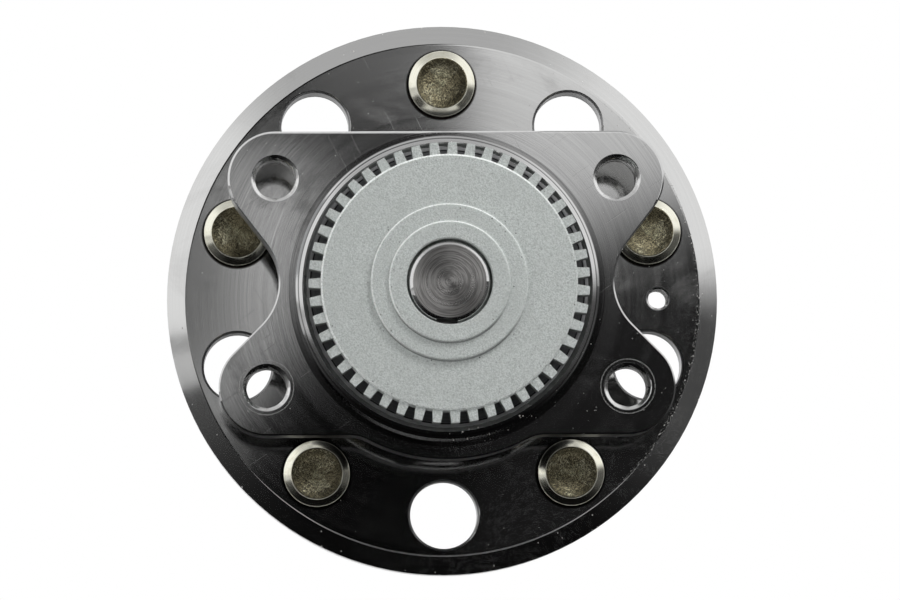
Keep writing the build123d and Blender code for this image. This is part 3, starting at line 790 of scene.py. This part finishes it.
# ---------------------------------------------------------------------------------------------
# Balls and cages: fourteen lapped bearing balls in each row, held apart by a snap cage that is
# moulded in glass-filled nylon. Grease clings to both.
BALL_STEEL = rgb(0.78, 0.78, 0.8)
BALL_GREASE = rgb(0.52, 0.45, 0.3)
NYLON_LIGHT = rgb(0.19, 0.12, 0.07)
NYLON_DARK = rgb(0.10, 0.062, 0.035)
CAGE_GREASE = rgb(0.26, 0.2, 0.1)

ball_finish, tree, shader = new_finish("lapped_ball_steel", 0.06, 1.0)
grease = use(tree, oil_film, Size=5.0, Spread=0.55)["Film"]
relief(tree, shader, (grease, 0.02))
wire(
    tree,
    shader,
    Base_Color=tint(tree, grease, BALL_STEEL, BALL_GREASE),
    Roughness=plus(tree, 0.05, (grease, 0.3)),
)
paint(ball_finish, "outboard_balls", "inboard_balls")

cage_finish, tree, shader = new_finish("glass_filled_nylon", 0.45, 0.0, IOR=1.53)
fibres = use(tree, rough_grain, Grain=0.35, Pits=0.2)
grease = use(tree, oil_film, Size=6.0, Spread=0.5)["Film"]
colour = tint(tree, fibres["Grain"], NYLON_DARK, NYLON_LIGHT)
colour = tint(tree, grease, colour, CAGE_GREASE)
relief(tree, shader, (fibres["Grain"], 0.015), (fibres["Pits"], -0.02))
wire(tree, shader, Base_Color=colour, Roughness=plus(tree, 0.5, (grease, -0.2)))
paint(cage_finish, "outboard_cage", "inboard_cage")

# ---------------------------------------------------------------------------------------------
# Seals: nitrile lips bonded to pressed steel cases in both mouths of the outer ring, and a
# sheet steel slinger on the inner ring that covers the knuckle-side seal.
RUBBER_LIGHT = rgb(0.03, 0.03, 0.032)
RUBBER_DARK = rgb(0.014, 0.014, 0.015)
RUBBER_DUST = rgb(0.12, 0.115, 0.1)
SHEET_OIL = rgb(0.26, 0.25, 0.23)
CASE_LIGHT = rgb(0.5, 0.505, 0.51)
CASE_DARK = rgb(0.36, 0.365, 0.37)
SLINGER_LIGHT = rgb(0.2, 0.205, 0.21)
SLINGER_DARK = rgb(0.13, 0.133, 0.138)

rubber_finish, tree, shader = new_finish("nitrile_rubber", 0.55, 0.0, IOR=1.52)
_, here = around_axis(tree)
mould = use(tree, turned_lines, Pitch=0.5, Wander=0.2, **here)["Lines"]
grain = use(tree, rough_grain, Grain=0.2, Pits=0.1)["Grain"]
dusting = use(tree, oil_film, Size=4.0, Spread=0.35)["Film"]
colour = tint(tree, grain, RUBBER_DARK, RUBBER_LIGHT)
colour = tint(tree, both(tree, dusting, 0.4), colour, RUBBER_DUST)
relief(tree, shader, (mould, 0.012), (grain, 0.01))
wire(tree, shader, Base_Color=colour, Roughness=plus(tree, 0.5, (dusting, 0.25)))
paint(rubber_finish, "outboard_seal_lips", "inboard_seal_lips")


def sheet_finish(name, light, dark, roughness):
    """Cold-rolled sheet, spun to a ring: fine hoops, stains of oil, small dents."""
    finish, tree, shader = new_finish(name, roughness, 1.0)
    _, here = around_axis(tree)
    rolled = use(tree, turned_lines, Pitch=0.2, Wander=0.8, **here)["Lines"]
    film = use(tree, oil_film, Size=7.0, Spread=0.5)["Film"]
    scratches = use(tree, hair_scratches, Amount=0.8)["Scratches"]
    colour = tint(tree, rolled, dark, light)
    colour = tint(tree, both(tree, film, 0.35), colour, SHEET_OIL)
    relief(tree, shader, (rolled, 0.003), (scratches, -0.002))
    wire(tree, shader, Base_Color=colour, Roughness=plus(tree, roughness, (film, 0.16)))
    return finish


case_finish = sheet_finish("seal_case_sheet", CASE_LIGHT, CASE_DARK, 0.3)
slinger_finish = sheet_finish("slinger_sheet", SLINGER_LIGHT, SLINGER_DARK, 0.32)
paint(case_finish, "outboard_seal_case", "inboard_seal_case")
paint(slinger_finish, "inboard_slinger")

# ---------------------------------------------------------------------------------------------
# Lock nut and tab washer: a phosphated hexagon nut draws the inner ring up against the hub,
# and a keyed sheet washer with one lug bent up keeps it from turning.
WASHER_LIGHT = rgb(0.52, 0.52, 0.52)
WASHER_DARK = rgb(0.38, 0.38, 0.38)
PHOSPHATE_LIGHT = rgb(0.2, 0.2, 0.205)
PHOSPHATE_DARK = rgb(0.085, 0.086, 0.09)

paint(sheet_finish("tab_washer_sheet", WASHER_LIGHT, WASHER_DARK, 0.28), "tab_washer")

nut_finish, tree, shader = new_finish("phosphated_nut", 0.45, 0.85)
_, here = around_axis(tree)
turned_face = use(tree, turned_lines, Pitch=0.3, Wander=0.5, **here)["Lines"]
crystals = use(tree, rough_grain, Grain=0.16, Pits=0.3)["Grain"]
colour = tint(tree, crystals, PHOSPHATE_DARK, PHOSPHATE_LIGHT)
relief(tree, shader, (turned_face, 0.01), (crystals, 0.01))
wire(tree, shader, Base_Color=colour, Roughness=plus(tree, 0.32, (crystals, 0.25)))
paint(nut_finish, "lock_nut")

# ---------------------------------------------------------------------------------------------
# Tone ring: pressed and sintered from steel powder, 47 teeth, matt and pale with a sandy
# grain, open pores near its edges and edges rounded by tumbling. It is pressed on the spindle.
TONE_DISC_RADIUS = 32.9
TONE_STEPS = (20.05, 15.5)  # radii of the inner edges on its face
TONE_FACE = 64.8
POWDER_LIGHT = rgb(0.64, 0.67, 0.655)
POWDER_DARK = rgb(0.42, 0.45, 0.435)
POWDER_CLOUD = rgb(0.49, 0.515, 0.5)
POWDER_PIT = rgb(0.24, 0.255, 0.25)
OPEN_PORE = rgb(0.06, 0.062, 0.06)
GAP_SHADE = rgb(0.09, 0.095, 0.09)
PAINTED_STEP_SHADE = rgb(0.07, 0.075, 0.07)
TUMBLED_EDGE_HIGHLIGHT = rgb(0.95, 0.98, 0.96)

tone_finish, tree, shader = new_finish("sintered_tone_ring", 0.55, 0.3)
at, _ = around_axis(tree)
sand = use(tree, rough_grain, Grain=0.42, Pits=0.12)
pores = use(tree, rough_grain, Grain=0.34, Pits=0.10)["Pits"]
cloud = use(tree, oil_film, Size=14.0, Spread=0.7)["Film"]
drift = place(tree, "TexNoise", {"Scale": 160.0, "Detail": 2.0}).outputs[0]
near_edge = ring_band(tree, at["Radius"], TONE_DISC_RADIUS, 0.5, 1.4)
edge_wear_highlight = ring_band(tree, at["Radius"], TONE_DISC_RADIUS - 0.18, 0.2, 0.1)
# Painted shade: a dark line at the foot of each step, on the lower side of the ring only.
step_foot_shade = None
for edge in TONE_STEPS:
    near_edge = either(tree, near_edge, ring_band(tree, at["Radius"], edge, 0.5, 1.4))
    edge_wear_highlight = either(tree, edge_wear_highlight, ring_band(tree, at["Radius"], edge - 0.1, 0.14, 0.12))
    band = ring_band(tree, at["Radius"], edge + 0.15, 0.16, 0.2)
    step_foot_shade = band if step_foot_shade is None else either(tree, step_foot_shade, band)
# Tumbled edges with a painted highlight: pale and shiny on the upper left, where the light falls,
# fading towards the lower right.
away = reckon(tree, "SUBTRACT", at["Turn X"], at["Turn Z"])
edge_wear_highlight = both(
    tree,
    edge_wear_highlight,
    ramp(tree, away, -0.8, 0.9, 1.0, 0.2),
    ramp(tree, sand["Grain"], 0.1, 0.5, 0.6, 1.0),
)
step_foot_shade = both(tree, step_foot_shade, ramp(tree, at["Turn Z"], -0.3, -0.8, 0.0, 0.6))
opened = reckon(tree, "MULTIPLY_ADD", near_edge, ramp(tree, drift, 0.5, 0.62), 0.12)
open_pores = reckon(tree, "MULTIPLY", pores, opened, clamp=True)
tooth_gap = both(
    tree,
    ramp(tree, at["Radius"], TONE_DISC_RADIUS + 0.05, TONE_DISC_RADIUS + 0.25),
    fall(tree, at["Depth"], TONE_FACE - 4.3, TONE_FACE - 0.65),
    0.85,
)
rounded = both(
    tree,
    slope(tree, at["Radius"], TONE_DISC_RADIUS - 0.4, TONE_DISC_RADIUS, 1.0, 0.0),
    ramp(tree, at["Depth"], TONE_FACE - 0.2, TONE_FACE - 0.1),
)
powder = coats(
    tree,
    tint(tree, sand["Grain"], POWDER_DARK, POWDER_LIGHT),
    (both(tree, cloud, 0.3), POWDER_CLOUD),
    (both(tree, sand["Pits"], 0.35), POWDER_PIT),
    (open_pores, OPEN_PORE),
    (tooth_gap, GAP_SHADE),
    (step_foot_shade, PAINTED_STEP_SHADE),
    (edge_wear_highlight, TUMBLED_EDGE_HIGHLIGHT),
)
relief(tree, shader, (sand["Grain"], 0.06), (open_pores, -0.06), (rounded, 0.22))
wire(
    tree,
    shader,
    Base_Color=powder,
    Roughness=plus(tree, 0.5, (sand["Grain"], 0.15), (edge_wear_highlight, -0.25)),
    Metallic=plus(tree, 0.3, (edge_wear_highlight, -0.2)),
)
paint(tone_finish, "tone_ring")

# ---------------------------------------------------------------------------------------------
# Wheel studs: M12 x 1.5, cold headed and rolled, zinc plated with a yellow-olive passivate,
# pressed in from the knuckle side by a knurled neck. The heads have a turned bevel, a shallow
# dish and a mottled, dusty face; the thread on the wheel side is clean.
STUD_FACE = 6.85
STUD_HEAD_TOP = 14.6
STUD_BEVEL = 1.5
BEVEL_FOOT = STUD_HEAD_TOP - STUD_BEVEL
HEAD_DISH = ((0.0, 0.24), (2.4, 0.22), (4.6, 0.18), (5.9, 0.06), (6.5, 0.0))  # radius, drop
KNURL = 6.5
KNURL_VALLEY = 6.2
KNURL_TEETH = 40
KNURL_END = 1.1
STUD_NECK = 5.9
NECK_DEPTHS = (0.4, -0.9)
STUD_PITCH = 1.5
STUD_ROOT = 5.08
STUD_CREST = 5.97
STUD_THREAD = 6.0
STUD_STEPS = 48
THREAD_START = 0.3
RUN_OUT_RADIUS = 5.0
RUN_OUT_SLOPE = 0.6
STUD_REACH = 34.0
STUD_TIP = 4.9
STUD_TIP_LENGTH = 2.0
PLATING_LIGHT = rgb(0.95, 0.935, 0.83)
PLATING_DARK = rgb(0.86, 0.845, 0.71)
PLATING_OLIVE = rgb(0.55, 0.5, 0.3)
FACE_YELLOW = rgb(0.97, 0.93, 0.68)
FACE_OLIVE = rgb(0.5, 0.45, 0.29)
FACE_MIDDLE = rgb(0.62, 0.6, 0.38)
FACE_BROWN = rgb(0.1, 0.083, 0.05)
FACE_GRIME = rgb(0.09, 0.078, 0.045)
FACE_PIT = rgb(0.04, 0.034, 0.02)
RIM_GRIME = rgb(0.085, 0.075, 0.045)
HEAD_SIDE_SHADE = rgb(0.06, 0.053, 0.034)

stud_finish, tree, shader = new_finish("yellow_zinc_stud", 0.35, 1.0)
at, here = around_axis(tree)
rolled = use(tree, turned_lines, Pitch=0.25, Wander=1.4, **here)["Lines"]
mottle = use(tree, oil_film, Size=4.2, Spread=0.6)["Film"]
grime = use(tree, oil_film, Size=1.1, Spread=0.55)["Film"]
blotch = use(tree, rough_grain, Grain=0.5, Pits=0.3)["Grain"]
speckle = use(tree, rough_grain, Grain=0.28, Pits=0.35)
on_top = both(
    tree,
    fall(tree, at["Radius"], STUD_FACE - 0.1, STUD_FACE + 0.1),
    ramp(tree, at["Depth"], STUD_HEAD_TOP - 0.6, STUD_HEAD_TOP - 0.5),
)
rim_grime = both(
    tree,
    ring_band(tree, at["Radius"], 6.0, 0.75, 0.6),
    on_top,
    ramp(tree, blotch, 0.35, 0.75, 0.75, 0.2),
)
corners = either(
    tree,
    ring_band(tree, at["Radius"], STUD_FACE, 0.06, 0.12),
    ring_band(tree, at["Radius"], STUD_HEAD - 0.1, 0.04, 0.08),
)
corners = both(tree, corners, ramp(tree, at["Depth"], BEVEL_FOOT - 0.5, BEVEL_FOOT - 0.2), 0.7)
on_face = reckon(tree, "SUBTRACT", on_top, corners, clamp=True)
# Painted shade: the side of each stud head is near black all round.
side = both(
    tree,
    ramp(tree, at["Radius"], STUD_HEAD - 0.1, STUD_HEAD - 0.02),
    fall(tree, at["Depth"], BEVEL_FOOT - 0.7, BEVEL_FOOT - 0.2),
    0.9,
)
dull_face = tint(tree, both(tree, mottle, 0.7), FACE_OLIVE, FACE_YELLOW)
face = coats(
    tree,
    tint(tree, ramp(tree, speckle["Grain"], 0.15, 0.7), FACE_BROWN, dull_face),
    (both(tree, grime, 0.55), FACE_GRIME),
    (both(tree, speckle["Pits"], 0.7), FACE_PIT),
    (rim_grime, RIM_GRIME),
    (both(tree, mottle, ramp(tree, at["Radius"], 1.0, 4.8, 0.5, 0.0)), FACE_MIDDLE),
)
plating = coats(
    tree,
    tint(tree, rolled, PLATING_DARK, PLATING_LIGHT),
    (both(tree, mottle, 0.2), PLATING_OLIVE),
    (side, HEAD_SIDE_SHADE),
    (on_face, face),
)
relief(
    tree,
    shader,
    (rolled, 0.002),
    (both(tree, blotch, on_face), 0.008),
    (both(tree, mottle, on_face), 0.014),
)
rough = plus(tree, 0.19, (on_face, -0.07), (grime, 0.05))
metal = plus(tree, 1.0, (on_face, -0.08), (corners, -0.5))
wire(tree, shader, Base_Color=plating, Roughness=rough, Metallic=metal)


def stud_mesh():
    """Head with dished face, knurled neck and rolled thread, about the Y axis."""
    mesh = bmesh.new()
    around = 3 * KNURL_TEETH
    top = STUD_HEAD_TOP
    head = [(radius, top - drop) for radius, drop in HEAD_DISH[1:]]
    head += [
        (STUD_FACE - 0.08, top),
        (STUD_FACE + 0.08, top - 0.09),
        (STUD_HEAD - 0.14, BEVEL_FOOT + 0.12),
        (STUD_HEAD - 0.02, BEVEL_FOOT - 0.02),
        (STUD_HEAD, BEVEL_FOOT - 0.2),
        (STUD_HEAD, FLANGE_THICKNESS + 0.15),
        (STUD_HEAD - 0.15, FLANGE_THICKNESS),
        (KNURL, FLANGE_THICKNESS),
    ]
    rings = [hoop(mesh, radius * MM, -depth * MM, around) for radius, depth in head]
    for depth in (FLANGE_THICKNESS - 0.3, KNURL_END):
        ring = hoop(mesh, KNURL * MM, -depth * MM, around)
        for valley in ring[::3]:
            valley.co.x *= KNURL_VALLEY / KNURL
            valley.co.z *= KNURL_VALLEY / KNURL
        rings.append(ring)
    for depth in NECK_DEPTHS:
        rings.append(hoop(mesh, STUD_NECK * MM, -depth * MM, around))
    for near, far in zip(rings, rings[1:]):
        span(mesh, near, far)
    crown = mesh.verts.new((0.0, -(top - HEAD_DISH[0][1]) * MM, 0.0))
    for step in range(around):
        mesh.faces.new((rings[0][step], crown, rings[0][(step + 1) % around]))
    mesh.faces.new(rings[-1])

    def trimmed(along, radius):
        tip = STUD_TIP + (STUD_REACH - along / MM) / STUD_TIP_LENGTH * (STUD_THREAD - STUD_TIP)
        run_out = RUN_OUT_RADIUS + max(0.0, along / MM - THREAD_START) * RUN_OUT_SLOPE
        return min(radius, tip * MM, run_out * MM)

    spiral = bmesh.new()
    start, end = THREAD_START * MM, STUD_REACH * MM
    radii = (STUD_ROOT * MM, STUD_CREST * MM)
    spiral_wall(spiral, radii, STUD_PITCH * MM, start, end, trimmed, STUD_STEPS)
    for along in (start, end):
        spiral.faces.new(open_edge(spiral, along))
    held = bpy.data.meshes.new("stud_thread_only")
    spiral.to_mesh(held)
    spiral.free()
    mesh.from_mesh(held)
    bpy.data.meshes.remove(held)
    return mesh


for number, (angle, (x, z)) in enumerate(zip(STUD_ANGLES, STUD_CENTRES), start=1):
    stud = finished(stud_mesh(), f"stud_{number}_with_thread", stud_finish, smooth_below=32)
    own_turn = Matrix.Rotation(math.radians(angle) * 3.7, 4, "Y")
    stud.matrix_world = Matrix.Translation(Vector((x, 0.0, z)) * MM) @ own_turn
    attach(stud, "hub")
    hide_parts(f"wheel_stud_{number}")

# ---------------------------------------------------------------------------------------------
# Studio: a pale floor under the part, white all round it, and soft lamps above and behind. The
# cards are seen only in the shine of the metal: dark on the floor, graded from dark to bright in
# front, and bright at the right and overhead, so that bare steel has something to reflect.
FLOOR_HEIGHT = -0.14
TABLE_HEIGHT = FLOOR_HEIGHT + 0.001
FILL = 0.38  # strength of the white as light on the part; seen, or in shine, it is full
WHITE = rgb(1.0, 1.0, 1.0)

world = bpy.data.worlds.new("white_studio")
bpy.context.scene.world = world
world.use_nodes = True
tree = world.node_tree
rays = place(tree, "LightPath").outputs
seen = either(tree, rays["Is Camera Ray"], rays["Is Glossy Ray"], rays["Is Transmission Ray"])
background = tree.nodes["Background"].inputs
background["Color"].default_value = WHITE
tree.links.new(reckon(tree, "MULTIPLY_ADD", seen, 1.0 - FILL, FILL), background["Strength"])


def flat_sheet(name, corners, finish):
    """One flat stage sheet."""
    data = bpy.data.meshes.new(name)
    data.from_pydata(corners, [], [tuple(range(len(corners)))])
    data.materials.append(finish)
    made = bpy.data.objects.new(name, data)
    bpy.context.scene.collection.objects.link(made)
    return made


floor_finish, tree, shader = new_finish("pale_floor", 0.7, 0.0, Specular_IOR_Level=0.0)
paper = place(tree, "TexNoise", {"Scale": 9.0, "Detail": 4.0}).outputs[0]
wire(tree, shader, Base_Color=tint(tree, paper, rgb(0.86, 0.86, 0.86), rgb(0.9, 0.9, 0.9)))
flat_sheet(
    "floor",
    [(x, y, FLOOR_HEIGHT) for x, y in ((-6.0, -6.0), (6.0, -6.0), (6.0, 6.0), (-6.0, 6.0))],
    floor_finish,
)


def glowing_card(name, corners, level):
    """Card seen only in shine; level works out its brightness from where a point of it lies."""
    finish = bpy.data.materials.new(name)
    finish.use_nodes = True
    tree = finish.node_tree
    tree.nodes.clear()
    where = place(tree, "TexCoord").outputs["Object"]
    strength = level(tree, *place(tree, "SeparateXYZ", {0: where}).outputs)
    glow = place(tree, "Emission", {"Color": WHITE, "Strength": strength})
    tree.links.new(glow.outputs[0], place(tree, "OutputMaterial").inputs[0])
    made = flat_sheet(name, corners, finish)
    made.visible_camera = False
    made.visible_diffuse = False
    made.visible_shadow = False
    made.visible_transmission = False


glowing_card(
    "table_card",
    [(x, y, TABLE_HEIGHT) for x, y in ((-0.55, -0.9), (0.5, -0.9), (0.5, 0.6), (-0.55, 0.6))],
    lambda tree, x, y, z: ramp(tree, reckon(tree, "ABSOLUTE", x), 0.08, 0.36, 0.004, 0.08),
)

RIGHT_CARD = 0.5
RIGHT_TOP = 0.12
glowing_card(
    "right_card",
    [
        (RIGHT_CARD, -0.9, TABLE_HEIGHT),
        (RIGHT_CARD, 0.6, TABLE_HEIGHT),
        (RIGHT_CARD, 0.6, RIGHT_TOP),
        (RIGHT_CARD, -0.9, RIGHT_TOP),
    ],
    lambda tree, x, y, z: ramp(tree, z, 0.005, 0.13, 0.08, 1.0),
)

CARD_BACK = -1.93
CARD_DEGREES = 57.3 / 1.9  # to a metre of the graded card, as the part sees it


def graded_level(tree, x, y, z):
    """Grey on the left, bright at the upper right, black below; angles as the part sees them."""
    rise = reckon(tree, "MULTIPLY", z, CARD_DEGREES)
    aside = reckon(tree, "MULTIPLY", x, CARD_DEGREES)
    bend = reckon(tree, "SUBTRACT", aside, ramp(tree, rise, 5.0, 7.0, 0.5, 0.0))
    shade = both(
        tree,
        ramp(tree, rise, 3.0, 4.2),
        fall(tree, rise, 6.0, 6.6),
        ramp(tree, aside, -1.9, -1.15, 0.45, 0.0),
    )
    left = both(
        tree,
        ramp(tree, reckon(tree, "MULTIPLY_ADD", aside, -1.6, rise), 4.9, 6.1),
        ramp(tree, bend, -1.0, 0.1, 0.66, 0.04),
        ramp(tree, rise, 6.0, 7.0, 1.0, 0.78),
        ramp(tree, aside, -2.4, -1.6, 0.45, 1.0),
        ramp(tree, rise, 0.8, 2.2),
        reckon(tree, "SUBTRACT", 1.0, shade),
    )
    pocket = both(tree, ramp(tree, rise, 7.15, 7.5, 0.0, 0.97), fall(tree, aside, -0.9, 0.2))
    left = both(
        tree,
        reckon(tree, "ADD", left, ramp(tree, rise, 7.8, 9.0, 0.001, 0.12)),
        reckon(tree, "SUBTRACT", 1.0, pocket),
        ramp(tree, rise, 11.0, 15.0, 1.0, 0.3),
    )
    right = ramp(tree, reckon(tree, "MULTIPLY_ADD", aside, -0.35, rise), 3.3, 5.4, 0.012, 0.72)
    right = reckon(tree, "ADD", right, ramp(tree, rise, 7.0, 9.5, 0.0, 0.2))
    change = reckon(tree, "SUBTRACT", right, left)
    return reckon(tree, "MULTIPLY_ADD", change, ramp(tree, aside, 2.0, 2.7), left)


glowing_card(
    "graded_card",
    [(x, CARD_BACK, z) for x, z in ((-0.6, -0.42), (0.6, -0.42), (0.6, 0.8), (-0.6, 0.8))],
    graded_level,
)

CARD_ABOVE = 0.9
glowing_card(
    "overhead_card",
    [(x, y, CARD_ABOVE) for x, y in ((-1.0, -1.7), (1.0, -1.7), (1.0, 0.3), (-1.0, 0.3))],
    lambda tree, x, y, z: ramp(
        tree, reckon(tree, "ABSOLUTE", reckon(tree, "ADD", x, 0.15)), 0.3, 0.9, 0.56, 1.0
    ),
)


PART_MIDDLE = Vector((0.0, -0.03, 0.0))


def soft_lamp(name, spot, size, level):
    """Square area lamp aimed at the part; level is the light it gives a facing surface."""
    lamp = bpy.data.lights.new(name, "AREA")
    lamp.shape = "SQUARE"
    lamp.size = size
    made = bpy.data.objects.new(name, lamp)
    made.location = spot
    aim = PART_MIDDLE - Vector(spot)
    made.rotation_euler = aim.to_track_quat("-Z", "Y").to_euler()
    lamp.energy = level * math.pi**2 * aim.length_squared
    made.visible_camera = False
    made.visible_glossy = False
    bpy.context.scene.collection.objects.link(made)


soft_lamp("key_lamp", (0.22, -0.31, 0.37), 0.17, 0.62)
soft_lamp("fill_lamp", (-1.3, -1.2, 0.5), 1.0, 0.12)
soft_lamp("back_lamp", (-0.7, 1.6, 1.2), 1.2, 0.4)

CAMERA_TURN = (94.6707, 0.3565, -1.9136)  # degrees
camera = bpy.data.objects.new("camera", bpy.data.cameras.new("camera"))
camera.location = (-0.05002, -1.54207, -0.12541)
camera.rotation_euler = Euler([math.radians(angle) for angle in CAMERA_TURN])
camera.data.lens = 232.17
camera.data.clip_start = 0.02
bpy.context.scene.collection.objects.link(camera)
bpy.context.scene.camera = camera
bpy.context.scene.view_settings.view_transform = "Standard"
